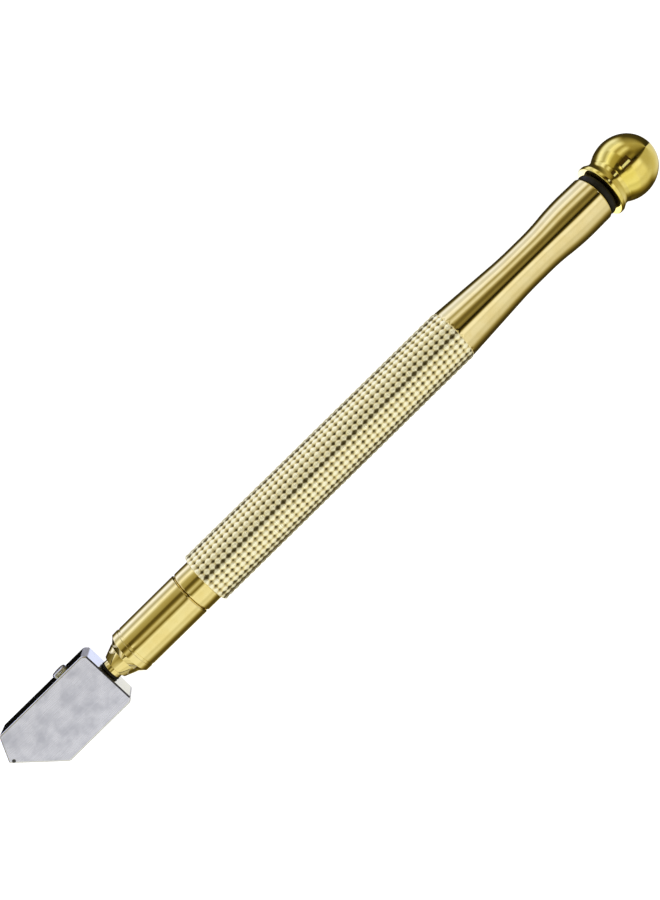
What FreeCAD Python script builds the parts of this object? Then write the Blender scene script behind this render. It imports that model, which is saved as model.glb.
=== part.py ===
import FreeCAD, Part
import math
import os
import Sketcher
from FreeCAD import Placement, Rotation, Vector

# Oil-feed glass cutter with a swivelling head, lying on a level surface.
# +X runs along the tool axis from the cutting head to the ball cap, +Z is up.
# The origin is on the surface, under the tool axis, midway between the ends.
# The tool axis is at the height of the ball's radius. All sizes in millimetres.

doc = FreeCAD.newDocument("glass_cutter")

SIZES = [
    # head block, outline in the XY plane
    ("tip_x", -89.1),
    ("tip_y", 1.55),
    ("tip_round", 0.3),
    ("head_half_width", 6.75),
    ("head_thickness", 6.5),
    ("upper_bevel_run", 2.55),
    ("head_rear_x", -63.5),
    ("corner_cut", 0.75),
    ("edge_break", 0.3),
    # cutting wheel, its axle and its slot
    ("wheel_x", -88.1),
    ("wheel_y", 1.2),
    ("wheel_radius", 1.5),
    ("wheel_thickness", 0.7),
    ("wheel_bevel", 0.15),
    ("wheel_bore_radius", 0.42),
    ("axle_radius", 0.39),
    ("axle_recess", 0.05),
    ("slot_width", 0.8),
    ("slot_end_x", -86.2),
    # bore and oil channel of the head, wick
    ("head_bore_radius", 1.74),
    ("head_bore_end_x", -73.2),
    ("channel_radius", 0.8),
    ("wick_radius", 0.76),
    # swivel screw
    ("screw_x", -70.2),
    ("screw_head_radius", 1.6),
    ("screw_head_height", 0.9),
    ("screw_head_round", 0.3),
    ("screw_shank_radius", 1.0),
    ("screw_dog_radius", 0.7),
    ("screw_dog_start", 2.4),
    ("screw_dog_end", 1.26),
    ("screw_slot_width", 0.55),
    ("screw_slot_depth", 0.45),
    # stem
    ("stem_front_x", -73.0),
    ("stem_radius", 1.7),
    ("stem_groove_front_x", -71.0),
    ("stem_groove_rear_x", -69.4),
    ("stem_groove_radius", 1.2),
    ("stem_shoulder_front_x", -62.9),
    ("stem_shoulder_rear_x", -61.3),
    ("stem_shoulder_radius", 2.2),
    ("collar_front_x", -54.95),
    ("collar_rear_x", -50.4),
    ("collar_radius", 2.78),
    ("collar_groove_front_x", -53.6),
    ("collar_groove_rear_x", -52.2),
    ("collar_groove_radius", 2.0),
    ("stem_tail_radius", 1.2),
    ("stem_tail_rear_x", -47.6),
    ("pin_radius", 0.55),
    ("pin_end_x", -45.2),
    ("oil_bore_radius", 0.55),
    ("oil_bore_end_x", -48.6),
    ("cross_hole_x", -49.2),
    ("cross_hole_radius", 0.4),
    ("stem_seal_x", -52.9),
    ("stem_seal_ring_radius", 2.41),
    ("stem_seal_cord_radius", 0.39),
    ("neck_ring_x", -63.2),
    ("neck_ring_radius", 2.0),
    ("neck_ring_cord_radius", 0.27),
    # nose sleeve
    ("nose_front_x", -61.75),
    ("nose_mouth_radius", 2.3),
    ("nose_mouth_end_x", -60.55),
    ("nose_small_radius", 2.9),
    ("nose_cone_end_x", -59.0),
    ("nose_cone_radius", 4.0),
    ("nose_chamfer_end_x", -57.8),
    ("nose_radius", 5.0),
    ("ring_mark_front_x", -56.5),
    ("ring_mark_rear_x", -55.8),
    ("ring_mark_depth", 0.08),
    ("nose_rear_x", -40.95),
    ("nose_bore_radius", 1.75),
    ("chamber_front_x", -55.0),
    ("chamber_radius", 2.85),
    ("spigot_radius", 4.0),
    ("spigot_rear_x", -33.0),
    ("rim_break", 0.3),
    # seam gasket
    ("gasket_radius", 4.4),
    # valve seat, its seal, ball, spring and retainer
    ("seat_front_x", -46.4),
    ("seat_rear_x", -44.4),
    ("seat_hole_radius", 0.9),
    ("seat_cone_radius", 1.4),
    ("seat_groove_front_x", -45.8),
    ("seat_groove_rear_x", -45.1),
    ("seat_groove_radius", 2.3),
    ("seat_seal_ring_radius", 2.58),
    ("seat_seal_cord_radius", 0.25),
    ("ball_valve_x", -43.636),
    ("ball_valve_radius", 1.5),
    ("spring_front_x", -42.52),
    ("spring_rear_x", -35.23),
    ("spring_coil_radius", 1.35),
    ("spring_wire_radius", 0.2),
    ("spring_pitch", 1.215),
    ("retainer_front_x", -35.0),
    ("retainer_rear_x", -33.3),
    ("retainer_hole_radius", 1.0),
    ("retainer_slot_width", 0.8),
    ("retainer_slot_depth", 0.6),
    # barrel
    ("barrel_front_x", -40.85),
    ("collar_end_x", -36.8),
    ("grip_front_x", -36.55),
    ("grip_radius", 5.96),
    ("grip_edge_radius", 5.64),
    ("grip_rear_x", 33.1),
    ("grip_end_x", 33.35),
    ("tail_front_radius", 5.74),
    ("tail_cone_x", 33.9),
    ("waist_blend_x", 48.5),
    ("waist_blend_radius", 4.79),
    ("waist_front_x", 53.5),
    ("waist_rear_x", 57.0),
    ("waist_radius", 4.64),
    ("waist_front_arc", 84.0),
    ("swell_turn_x", 62.3),
    ("swell_turn_radius", 4.95),
    ("swell_arc", 48.0),
    ("swell_x", 68.2),
    ("swell_radius", 5.28),
    ("crown_arc", 54.0),
    ("barrel_end_radius", 5.21),
    ("barrel_end_x", 73.3),
    ("barrel_end_break", 0.3),
    ("mouth_radius", 3.05),
    ("mouth_break", 0.3),
    ("mouth_front_x", 65.0),
    ("reservoir_rear_x", 64.5),
    ("reservoir_radius", 3.5),
    ("reservoir_front_x", -32.6),
    # ball cap and its seal ring
    ("cap_stem_front_x", 66.8),
    ("cap_stem_radius", 2.95),
    ("cap_stem_break", 0.45),
    ("flange_front_x", 75.3),
    ("flange_radius", 6.1),
    ("flange_round", 0.3),
    ("flange_rear_x", 76.2),
    ("cap_neck_x", 77.4),
    ("cap_neck_radius", 5.55),
    ("ball_start_x", 78.3),
    ("ball_x", 82.3),
    ("ball_radius", 6.8),
    ("cap_seal_x", 74.3),
    ("cap_seal_ring_radius", 4.1),
    ("cap_seal_cord_radius", 0.93),
]

sheet = doc.addObject("Spreadsheet::Sheet", "Sizes")
for row, (name, value) in enumerate(SIZES, start=1):
    sheet.set(f"A{row}", name)
    sheet.set(f"B{row}", repr(value))
    sheet.setAlias(f"B{row}", name)
doc.recompute()


class Dim:
    """A size with its number and the expression that gives it from the sheet."""

    def __init__(self, text, value):
        self.text, self.value = text, value

    @staticmethod
    def of(other):
        return other if isinstance(other, Dim) else Dim(repr(float(other)), float(other))

    def __add__(self, other):
        o = Dim.of(other)
        return Dim(f"({self.text} + {o.text})", self.value + o.value)

    def __sub__(self, other):
        o = Dim.of(other)
        return Dim(f"({self.text} - {o.text})", self.value - o.value)

    def __mul__(self, other):
        o = Dim.of(other)
        return Dim(f"({self.text} * {o.text})", self.value * o.value)

    def __truediv__(self, other):
        o = Dim.of(other)
        return Dim(f"({self.text} / {o.text})", self.value / o.value)

    def __neg__(self):
        return Dim(f"(0 - {self.text})", -self.value)


def root(dim):
    return Dim(f"sqrt({dim.text})", math.sqrt(dim.value))


D = {name: Dim(f"Sizes.{name}", value) for name, value in SIZES}
ZERO = Dim("0", 0.0)
AXIS = D["ball_radius"]


def plane(body, role):
    return next(o for o in body.Origin.OriginFeatures if o.Role == role)


def new_body(label):
    body = doc.addObject("PartDesign::Body", label)
    body.Label = label
    return body


def new_sketch(body, name, role):
    sketch = body.newObject("Sketcher::SketchObject", name)
    sketch.AttachmentSupport = [(plane(body, role), "")]
    sketch.MapMode = "FlatFace"
    return sketch


def fix_point(sketch, geo, pos, x, y):
    """Ties one point of a sketch to the sheet: x and y from the sketch's origin."""
    for kind, dim in (("DistanceX", x), ("DistanceY", y)):
        if dim.value == 0.0:
            axis = -2 if kind == "DistanceX" else -1
            sketch.addConstraint(Sketcher.Constraint("PointOnObject", geo, pos, axis))
        else:
            i = sketch.addConstraint(
                Sketcher.Constraint(kind, -1, 1, geo, pos, dim.value)
            )
            sketch.setExpression(f"Constraints[{i}]", dim.text)


def outline(sketch, corners):
    """A closed outline. Each corner is (x, y) or (x, y, arc radius, bulge): the edge that leaves
    it is then an arc, with its centre on the left (+1) or the right (-1) of the way to the next."""
    n = len(corners)
    ends = []
    for i, corner in enumerate(corners):
        a = Vector(corner[0].value, corner[1].value, 0)
        nxt = corners[(i + 1) % n]
        b = Vector(nxt[0].value, nxt[1].value, 0)
        if len(corner) == 2:
            geo = sketch.addGeometry(Part.LineSegment(a, b), False)
            ends.append((geo, 1, 2))
            continue
        radius, side = corner[2], corner[3]
        way = b - a
        mid = (a + b) * 0.5
        left = Vector(-way.y, way.x, 0).normalize()
        drop = math.sqrt(max(radius.value**2 - (way.Length / 2) ** 2, 0.0))
        centre = mid + left * (drop * side)
        t0 = math.atan2(a.y - centre.y, a.x - centre.x)
        t1 = math.atan2(b.y - centre.y, b.x - centre.x)
        circle = Part.Circle(centre, Vector(0, 0, 1), radius.value)
        if side > 0:
            geo = sketch.addGeometry(Part.ArcOfCircle(circle, t0, t1), False)
            ends.append((geo, 1, 2))
        else:
            geo = sketch.addGeometry(Part.ArcOfCircle(circle, t1, t0), False)
            ends.append((geo, 2, 1))
        k = sketch.addConstraint(Sketcher.Constraint("Radius", geo, radius.value))
        sketch.setExpression(f"Constraints[{k}]", radius.text)
    for i, corner in enumerate(corners):
        geo, start, _ = ends[i]
        before, _, end = ends[i - 1]
        sketch.addConstraint(Sketcher.Constraint("Coincident", before, end, geo, start))
        fix_point(sketch, geo, start, corner[0], corner[1])
    return sketch


def circle(sketch, x, y, radius):
    geo = sketch.addGeometry(
        Part.Circle(Vector(x.value, y.value, 0), Vector(0, 0, 1), radius.value), False
    )
    i = sketch.addConstraint(Sketcher.Constraint("Radius", geo, radius.value))
    sketch.setExpression(f"Constraints[{i}]", radius.text)
    fix_point(sketch, geo, 3, x, y)
    return sketch


def rectangle(sketch, x0, y0, x1, y1):
    return outline(sketch, [(x0, y0), (x1, y0), (x1, y1), (x0, y1)])


def turned(label, corners):
    """A body turned about its own X axis from the outline of its upper half."""
    body = new_body(label)
    sketch = outline(new_sketch(body, label + "_profile", "XY_Plane"), corners)
    turn = body.newObject("PartDesign::Revolution", label + "_turned")
    turn.Profile = sketch
    turn.ReferenceAxis = (sketch, ["H_Axis"])
    turn.Angle = 360.0
    sketch.Visibility = False
    return body


def on_axis(obj, x=ZERO, rotation=None):
    """Puts a piece on the tool axis, at x."""
    if rotation is not None:
        obj.Placement = Placement(Vector(0, 0, 0), rotation)
    obj.setExpression("Placement.Base.x", x.text)
    obj.setExpression("Placement.Base.z", AXIS.text)
    return obj


def cut_through(body, sketch, name, dim=None, reverse=False):
    """Cuts a sketch out of a body: both ways through it, or to a stated depth."""
    pocket = body.newObject("PartDesign::Pocket", name)
    pocket.Profile = sketch
    if dim is None:
        pocket.Type = "ThroughAll"
        pocket.SideType = "Symmetric"
    else:
        pocket.Type = "Length"
        pocket.setExpression("Length", dim.text)
        pocket.Reversed = reverse
    sketch.Visibility = False
    return pocket


def edges_where(shape, test):
    return [f"Edge{i}" for i, e in enumerate(shape.Edges, start=1) if test(e)]


# ---------------------------------------------------------------- barrel
# Turned brass tube: short collar, grip, tapered tail with a waist and a swell.
# The grip is at the diameter over its knurl. The bore is the oil reservoir, its rear mouth takes
# the cap's stem, its front counterbore takes the spigot of the nose.
barrel = turned(
    "barrel",
    [
        (D["barrel_front_x"], D["spigot_radius"]),
        (D["barrel_front_x"], D["nose_radius"] - D["rim_break"]),
        (D["barrel_front_x"] + D["rim_break"], D["nose_radius"]),
        (D["collar_end_x"], D["nose_radius"]),
        (D["collar_end_x"], D["grip_edge_radius"]),
        (D["grip_front_x"], D["grip_radius"]),
        (D["grip_rear_x"], D["grip_radius"]),
        (D["grip_end_x"], D["tail_front_radius"]),
        (D["tail_cone_x"], D["tail_front_radius"]),
        (D["waist_blend_x"], D["waist_blend_radius"], D["waist_front_arc"], 1),
        (D["waist_front_x"], D["waist_radius"]),
        (D["waist_rear_x"], D["waist_radius"], D["swell_arc"], 1),
        (D["swell_turn_x"], D["swell_turn_radius"], D["crown_arc"], -1),
        (D["swell_x"], D["swell_radius"]),
        (D["barrel_end_x"] - D["barrel_end_break"], D["barrel_end_radius"]),
        (D["barrel_end_x"], D["barrel_end_radius"] - D["barrel_end_break"]),
        (D["barrel_end_x"], D["mouth_radius"] + D["mouth_break"]),
        (D["barrel_end_x"] - D["mouth_break"], D["mouth_radius"]),
        (D["mouth_front_x"], D["mouth_radius"]),
        (D["reservoir_rear_x"], D["reservoir_radius"]),
        (D["reservoir_front_x"], D["reservoir_radius"]),
        (D["reservoir_front_x"], D["spigot_radius"]),
    ],
)
on_axis(barrel)

# ---------------------------------------------------------------- nose sleeve
# Brass front end: cone, cylinder with a fine ring mark, spigot that screws into the barrel.
# Its bore guides the stem and opens into the valve chamber.
nose_sleeve = turned(
    "nose_sleeve",
    [
        (D["nose_front_x"], D["nose_mouth_radius"]),
        (D["nose_front_x"], D["nose_small_radius"]),
        (D["nose_cone_end_x"], D["nose_cone_radius"]),
        (D["nose_chamfer_end_x"], D["nose_radius"]),
        (D["ring_mark_front_x"], D["nose_radius"]),
        (D["ring_mark_front_x"] + D["ring_mark_depth"], D["nose_radius"] - D["ring_mark_depth"]),
        (D["ring_mark_rear_x"] - D["ring_mark_depth"], D["nose_radius"] - D["ring_mark_depth"]),
        (D["ring_mark_rear_x"], D["nose_radius"]),
        (D["nose_rear_x"] - D["rim_break"], D["nose_radius"]),
        (D["nose_rear_x"], D["nose_radius"] - D["rim_break"]),
        (D["nose_rear_x"], D["spigot_radius"]),
        (D["spigot_rear_x"] - D["rim_break"], D["spigot_radius"]),
        (D["spigot_rear_x"], D["spigot_radius"] - D["rim_break"]),
        (D["spigot_rear_x"], D["chamber_radius"]),
        (D["chamber_front_x"], D["chamber_radius"]),
        (D["chamber_front_x"], D["nose_bore_radius"]),
        (D["nose_mouth_end_x"], D["nose_bore_radius"]),
        (D["nose_mouth_end_x"], D["nose_mouth_radius"]),
    ],
)
on_axis(nose_sleeve)

# Flat gasket in the seam between the nose and the barrel, around the spigot.
seam_gasket = turned(
    "seam_gasket",
    [
        (D["nose_rear_x"], D["spigot_radius"]),
        (D["nose_rear_x"], D["gasket_radius"]),
        (D["barrel_front_x"], D["gasket_radius"]),
        (D["barrel_front_x"], D["spigot_radius"]),
    ],
)
on_axis(seam_gasket)

# ---------------------------------------------------------------- oil valve
# Seat with a hole that the valve ball closes, and a groove for its seal ring.
valve_seat = turned(
    "valve_seat",
    [
        (D["seat_front_x"], D["seat_hole_radius"]),
        (D["seat_front_x"], D["chamber_radius"]),
        (D["seat_groove_front_x"], D["chamber_radius"]),
        (D["seat_groove_front_x"], D["seat_groove_radius"]),
        (D["seat_groove_rear_x"], D["seat_groove_radius"]),
        (D["seat_groove_rear_x"], D["chamber_radius"]),
        (D["seat_rear_x"], D["chamber_radius"]),
        (D["seat_rear_x"], D["seat_cone_radius"]),
        (
            D["seat_rear_x"] - (D["seat_cone_radius"] - D["seat_hole_radius"]),
            D["seat_hole_radius"],
        ),
    ],
)
on_axis(valve_seat)

ALONG_X = Rotation(Vector(0, 1, 0), 90)


def ring(label, x, ring_radius, cord_radius):
    """A round-section rubber ring around the tool axis."""
    torus = doc.addObject("Part::Torus", label)
    torus.Label = label
    torus.setExpression("Radius1", ring_radius.text)
    torus.setExpression("Radius2", cord_radius.text)
    return on_axis(torus, x, ALONG_X)


seat_seal = ring(
    "seat_seal",
    (D["seat_groove_front_x"] + D["seat_groove_rear_x"]) / 2,
    D["seat_seal_ring_radius"],
    D["seat_seal_cord_radius"],
)

valve_ball = doc.addObject("Part::Sphere", "valve_ball")
valve_ball.Label = "valve_ball"
valve_ball.setExpression("Radius", D["ball_valve_radius"].text)
on_axis(valve_ball, D["ball_valve_x"])

# Compression spring from the back of the ball to the retainer.
helix = doc.addObject("Part::Helix", "valve_spring_path")
helix.setExpression("Pitch", D["spring_pitch"].text)
helix.setExpression("Height", (D["spring_rear_x"] - D["spring_front_x"]).text)
helix.setExpression("Radius", D["spring_coil_radius"].text)
wire = doc.addObject("Part::Circle", "valve_spring_wire")
wire.setExpression("Radius", D["spring_wire_radius"].text)
wire.Placement = Placement(
    Vector(D["spring_coil_radius"].value, 0, 0), Rotation(Vector(1, 0, 0), 90)
)
wire.setExpression("Placement.Base.x", D["spring_coil_radius"].text)
doc.recompute()
valve_spring = doc.addObject("Part::Sweep", "valve_spring")
valve_spring.Label = "valve_spring"
valve_spring.Sections = [wire]
valve_spring.Spine = (
    helix,
    [f"Edge{i}" for i in range(1, len(helix.Shape.Edges) + 1)],
)
valve_spring.Solid = True
valve_spring.Frenet = True
on_axis(valve_spring, D["spring_front_x"], ALONG_X)

# Ring screwed into the spigot behind the spring, with a driver slot across its back.
spring_retainer = turned(
    "spring_retainer",
    [
        (D["retainer_front_x"], D["retainer_hole_radius"]),
        (D["retainer_front_x"], D["chamber_radius"]),
        (D["retainer_rear_x"], D["chamber_radius"]),
        (D["retainer_rear_x"], D["retainer_hole_radius"]),
    ],
)
half = D["retainer_slot_width"] / 2
cut_through(
    spring_retainer,
    rectangle(
        new_sketch(spring_retainer, "retainer_slot_profile", "XZ_Plane"),
        D["retainer_rear_x"] - D["retainer_slot_depth"],
        -half,
        D["retainer_rear_x"] + 0.5,
        half,
    ),
    "retainer_slot",
)
on_axis(spring_retainer)

# ---------------------------------------------------------------- stem
# Brass shank on which the head swivels. Its groove takes the screw's dog point, its collar slides
# in the valve chamber, its rear pin lifts the valve ball. The oil enters by the cross hole and
# runs forward through the bore.
stem = turned(
    "stem",
    [
        (D["stem_front_x"], D["oil_bore_radius"]),
        (D["stem_front_x"], D["stem_radius"] - 0.2),
        (D["stem_front_x"] + 0.2, D["stem_radius"]),
        (D["stem_groove_front_x"], D["stem_radius"]),
        (D["stem_groove_front_x"], D["stem_groove_radius"]),
        (D["stem_groove_rear_x"], D["stem_groove_radius"]),
        (D["stem_groove_rear_x"], D["stem_radius"]),
        (D["stem_shoulder_front_x"], D["stem_radius"]),
        (D["stem_shoulder_front_x"], D["stem_shoulder_radius"]),
        (D["stem_shoulder_rear_x"], D["stem_shoulder_radius"]),
        (D["stem_shoulder_rear_x"], D["stem_radius"]),
        (D["collar_front_x"], D["stem_radius"]),
        (D["collar_front_x"], D["collar_radius"]),
        (D["collar_groove_front_x"], D["collar_radius"]),
        (D["collar_groove_front_x"], D["collar_groove_radius"]),
        (D["collar_groove_rear_x"], D["collar_groove_radius"]),
        (D["collar_groove_rear_x"], D["collar_radius"]),
        (D["collar_rear_x"], D["collar_radius"]),
        (D["collar_rear_x"], D["stem_tail_radius"]),
        (D["stem_tail_rear_x"], D["stem_tail_radius"]),
        (D["stem_tail_rear_x"], D["pin_radius"]),
        (D["pin_end_x"], D["pin_radius"]),
        (D["pin_end_x"], ZERO),
        (D["oil_bore_end_x"], ZERO),
        (D["oil_bore_end_x"], D["oil_bore_radius"]),
    ],
)
cut_through(
    stem,
    circle(
        new_sketch(stem, "cross_hole_profile", "XY_Plane"),
        D["cross_hole_x"],
        ZERO,
        D["cross_hole_radius"],
    ),
    "cross_hole",
)
on_axis(stem)
stem_seal = ring(
    "stem_seal", D["stem_seal_x"], D["stem_seal_ring_radius"], D["stem_seal_cord_radius"]
)
neck_ring = ring(
    "neck_ring", D["neck_ring_x"], D["neck_ring_radius"], D["neck_ring_cord_radius"]
)

# ---------------------------------------------------------------- head
# Flat steel block with an off-centre point: a steep bevel above it, a 45 degree bevel below.
head_block = new_body("head_block")
w = D["head_half_width"]
profile = outline(
    new_sketch(head_block, "head_outline", "XY_Plane"),
    [
        (D["tip_x"], D["tip_y"]),
        (D["tip_x"] + (D["tip_y"] + w), -w),
        (D["head_rear_x"] - D["corner_cut"], -w),
        (D["head_rear_x"], D["corner_cut"] - w),
        (D["head_rear_x"], w - D["corner_cut"]),
        (D["head_rear_x"] - D["corner_cut"], w),
        (D["tip_x"] + D["upper_bevel_run"], w),
    ],
)
pad = head_block.newObject("PartDesign::Pad", "head_pad")
pad.Profile = profile
pad.setExpression("Length", D["head_thickness"].text)
pad.SideType = "Symmetric"
profile.Visibility = False
doc.recompute()

tip = Vector(D["tip_x"].value, D["tip_y"].value, 0)
rounding = head_block.newObject("PartDesign::Fillet", "tip_rounding")
rounding.Base = (
    pad,
    edges_where(
        pad.Shape,
        lambda e: Vector(e.CenterOfMass.x, e.CenterOfMass.y, 0).distanceToPoint(tip) < 1e-3,
    ),
)
rounding.setExpression("Radius", D["tip_round"].text)
doc.recompute()

# The edges around both wide faces are broken.
breaks = head_block.newObject("PartDesign::Chamfer", "head_edge_break")
breaks.Base = (
    rounding,
    edges_where(
        rounding.Shape,
        lambda e: abs(abs(e.CenterOfMass.z) - D["head_thickness"].value / 2) < 1e-6,
    ),
)
breaks.setExpression("Size", D["edge_break"].text)
doc.recompute()

# Stepped bore from the rear: the stem's bore, then the oil channel to the wheel slot.
bore_profile = outline(
    new_sketch(head_block, "head_bore_profile", "XY_Plane"),
    [
        (D["slot_end_x"] - 0.5, ZERO),
        (D["head_rear_x"] + 0.5, ZERO),
        (D["head_rear_x"] + 0.5, D["head_bore_radius"]),
        (D["head_bore_end_x"], D["head_bore_radius"]),
        (D["head_bore_end_x"], D["channel_radius"]),
        (D["slot_end_x"] - 0.5, D["channel_radius"]),
    ],
)
bore = head_block.newObject("PartDesign::Groove", "head_bore")
bore.Profile = bore_profile
bore.ReferenceAxis = (bore_profile, ["H_Axis"])
bore.Angle = 360.0
bore_profile.Visibility = False
doc.recompute()

half = D["slot_width"] / 2
cut_through(
    head_block,
    rectangle(
        new_sketch(head_block, "wheel_slot_profile", "XZ_Plane"),
        D["tip_x"] - 2.0,
        -half,
        D["slot_end_x"],
        half,
    ),
    "wheel_slot",
)
cut_through(
    head_block,
    circle(
        new_sketch(head_block, "axle_hole_profile", "XY_Plane"),
        D["wheel_x"],
        D["wheel_y"],
        D["axle_radius"],
    ),
    "axle_hole",
)
screw_hole = cut_through(
    head_block,
    circle(
        new_sketch(head_block, "screw_hole_profile", "XZ_Plane"),
        D["screw_x"],
        ZERO,
        D["screw_shank_radius"],
    ),
    "screw_hole",
    w + 1.0,
    False,
)
doc.recompute()
in_wall = Vector(D["screw_x"].value, 4.5, 0)
if screw_hole.Shape.isInside(in_wall, 1e-3, False):
    screw_hole.Reversed = True
    doc.recompute()
on_axis(head_block)

# Slotted screw, turned about its own axis and stood on the head's upper narrow side.
seat = D["head_half_width"]
top = seat + D["screw_head_height"]
head_screw = turned(
    "head_screw",
    [
        (D["screw_dog_end"], ZERO),
        (D["screw_dog_end"], D["screw_dog_radius"]),
        (D["screw_dog_start"], D["screw_dog_radius"]),
        (D["screw_dog_start"] + 0.3, D["screw_shank_radius"]),
        (seat, D["screw_shank_radius"]),
        (seat, D["screw_head_radius"]),
        (top - D["screw_head_round"], D["screw_head_radius"], D["screw_head_round"], 1),
        (top, D["screw_head_radius"] - D["screw_head_round"]),
        (top, ZERO),
    ],
)
half = D["screw_slot_width"] / 2
cut_through(
    head_screw,
    rectangle(
        new_sketch(head_screw, "screw_slot_profile", "XZ_Plane"),
        top - D["screw_slot_depth"],
        -half,
        top + 0.5,
        half,
    ),
    "screw_slot",
)
on_axis(head_screw, D["screw_x"], Rotation(Vector(0, 0, 1), 90))

# Axle pressed through the tip, and the wheel that turns on it.
UPRIGHT = Rotation(Vector(0, 1, 0), -90)


def at_wheel(body):
    body.Placement = Placement(Vector(0, 0, 0), UPRIGHT)
    body.setExpression("Placement.Base.x", D["wheel_x"].text)
    body.setExpression("Placement.Base.y", D["wheel_y"].text)
    body.setExpression("Placement.Base.z", AXIS.text)
    return body


half = D["head_thickness"] / 2 - D["axle_recess"]
wheel_axle = at_wheel(
    turned(
        "wheel_axle",
        [
            (-half, ZERO),
            (half, ZERO),
            (half, D["axle_radius"]),
            (-half, D["axle_radius"]),
        ],
    )
)
half = D["wheel_thickness"] / 2
cutting_wheel = at_wheel(
    turned(
        "cutting_wheel",
        [
            (-half, D["wheel_bore_radius"]),
            (half, D["wheel_bore_radius"]),
            (half, D["wheel_radius"] - D["wheel_bevel"]),
            (ZERO, D["wheel_radius"]),
            (-half, D["wheel_radius"] - D["wheel_bevel"]),
        ],
    )
)

# Felt wick in the oil channel.
oil_wick = turned(
    "oil_wick",
    [
        (D["slot_end_x"] + 0.05, ZERO),
        (D["slot_end_x"] + 0.05, D["wick_radius"] - 0.2),
        (D["slot_end_x"] + 0.25, D["wick_radius"]),
        (D["head_bore_end_x"] - 0.25, D["wick_radius"]),
        (D["head_bore_end_x"] - 0.05, D["wick_radius"] - 0.2),
        (D["head_bore_end_x"] - 0.05, ZERO),
    ],
)
on_axis(oil_wick)

# ---------------------------------------------------------------- cap
# Filler cap: threaded stem at its outside diameter, flange, neck and ball in one piece.
rise = D["ball_x"] - D["ball_start_x"]
ball_cap = turned(
    "ball_cap",
    [
        (D["cap_stem_front_x"], ZERO),
        (D["cap_stem_front_x"], D["cap_stem_radius"] - D["cap_stem_break"]),
        (D["cap_stem_front_x"] + D["cap_stem_break"], D["cap_stem_radius"]),
        (D["flange_front_x"], D["cap_stem_radius"]),
        (D["flange_front_x"], D["flange_radius"] - D["flange_round"]),
        (D["flange_front_x"] + D["flange_round"], D["flange_radius"]),
        (D["flange_rear_x"], D["flange_radius"]),
        (D["cap_neck_x"], D["cap_neck_radius"]),
        (
            D["ball_start_x"],
            root(D["ball_radius"] * D["ball_radius"] - rise * rise),
            D["ball_radius"],
            -1,
        ),
        (D["ball_x"] + D["ball_radius"], ZERO),
    ],
)
on_axis(ball_cap)
cap_seal = ring(
    "cap_seal", D["cap_seal_x"], D["cap_seal_ring_radius"], D["cap_seal_cord_radius"]
)

# ---------------------------------------------------------------- check and write
PIECES = [
    barrel,
    nose_sleeve,
    seam_gasket,
    valve_seat,
    seat_seal,
    valve_ball,
    valve_spring,
    spring_retainer,
    stem,
    stem_seal,
    neck_ring,
    head_block,
    head_screw,
    wheel_axle,
    oil_wick,
    cutting_wheel,
    ball_cap,
    cap_seal,
]

doc.recompute()
faults = []
for obj in doc.Objects:
    if any(word in state for state in obj.State for word in ("Invalid", "Error")):
        faults.append(f"{obj.Label}: {obj.State}")
for piece in PIECES:
    if piece.Shape.isNull() or not piece.Shape.isValid() or len(piece.Shape.Solids) != 1:
        faults.append(f"{piece.Label}: not one valid solid")
for body in (head_block, head_screw, spring_retainer, stem):
    shapes = [f for f in body.Group if f.isDerivedFrom("PartDesign::Feature")]
    for before, after in zip(shapes, shapes[1:]):
        if not after.Shape.Volume < before.Shape.Volume - 1e-4:
            faults.append(f"{after.Label}: removed nothing")
if head_block.Shape.isInside(Vector(D["screw_x"].value, 4.5, AXIS.value), 1e-3, False):
    faults.append("screw_hole: cut on the wrong side")
if faults:
    raise SystemExit("model faults:\n" + "\n".join(faults))

os.makedirs("parts", exist_ok=True)
for piece in PIECES:
    piece.Shape.exportStep(f"parts/{piece.Label}.step")
    b = piece.Shape.BoundBox
    print(
        f"{piece.Label:16s} volume {piece.Shape.Volume:9.2f}"
        f"  x {b.XMin:8.2f} {b.XMax:8.2f}  y {b.YMin:7.2f} {b.YMax:7.2f}  z {b.ZMin:6.2f} {b.ZMax:6.2f}"
    )
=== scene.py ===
"""Looks of the glass cutter: a turned brass handle with a knurled grip, a steel head that swivels
on a brass shank, and a ball-shaped filler cap. Lengths in the tables are in millimetres."""

import math

import bmesh
import bpy
import numpy as np
from mathutils import Matrix, Vector


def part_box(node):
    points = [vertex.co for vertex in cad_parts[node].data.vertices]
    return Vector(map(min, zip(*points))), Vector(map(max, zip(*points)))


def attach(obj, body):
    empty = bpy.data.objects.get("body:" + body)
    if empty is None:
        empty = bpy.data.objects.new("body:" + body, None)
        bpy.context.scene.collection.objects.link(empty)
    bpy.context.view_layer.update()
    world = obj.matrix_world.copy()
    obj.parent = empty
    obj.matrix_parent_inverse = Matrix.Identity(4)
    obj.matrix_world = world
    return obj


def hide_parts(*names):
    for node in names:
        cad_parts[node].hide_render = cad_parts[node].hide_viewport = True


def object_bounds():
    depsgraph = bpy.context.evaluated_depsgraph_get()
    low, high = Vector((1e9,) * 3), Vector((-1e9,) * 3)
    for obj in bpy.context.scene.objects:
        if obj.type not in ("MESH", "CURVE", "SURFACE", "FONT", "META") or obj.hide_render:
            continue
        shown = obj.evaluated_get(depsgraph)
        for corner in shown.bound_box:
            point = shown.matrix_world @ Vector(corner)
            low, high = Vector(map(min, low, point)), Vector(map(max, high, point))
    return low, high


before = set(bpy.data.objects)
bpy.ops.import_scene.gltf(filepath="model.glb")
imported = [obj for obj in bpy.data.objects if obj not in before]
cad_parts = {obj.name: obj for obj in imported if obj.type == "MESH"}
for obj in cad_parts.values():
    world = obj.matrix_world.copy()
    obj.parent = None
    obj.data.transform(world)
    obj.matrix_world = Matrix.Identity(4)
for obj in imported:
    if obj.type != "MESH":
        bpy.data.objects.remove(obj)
cad_box = [list(corner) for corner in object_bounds()]

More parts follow.
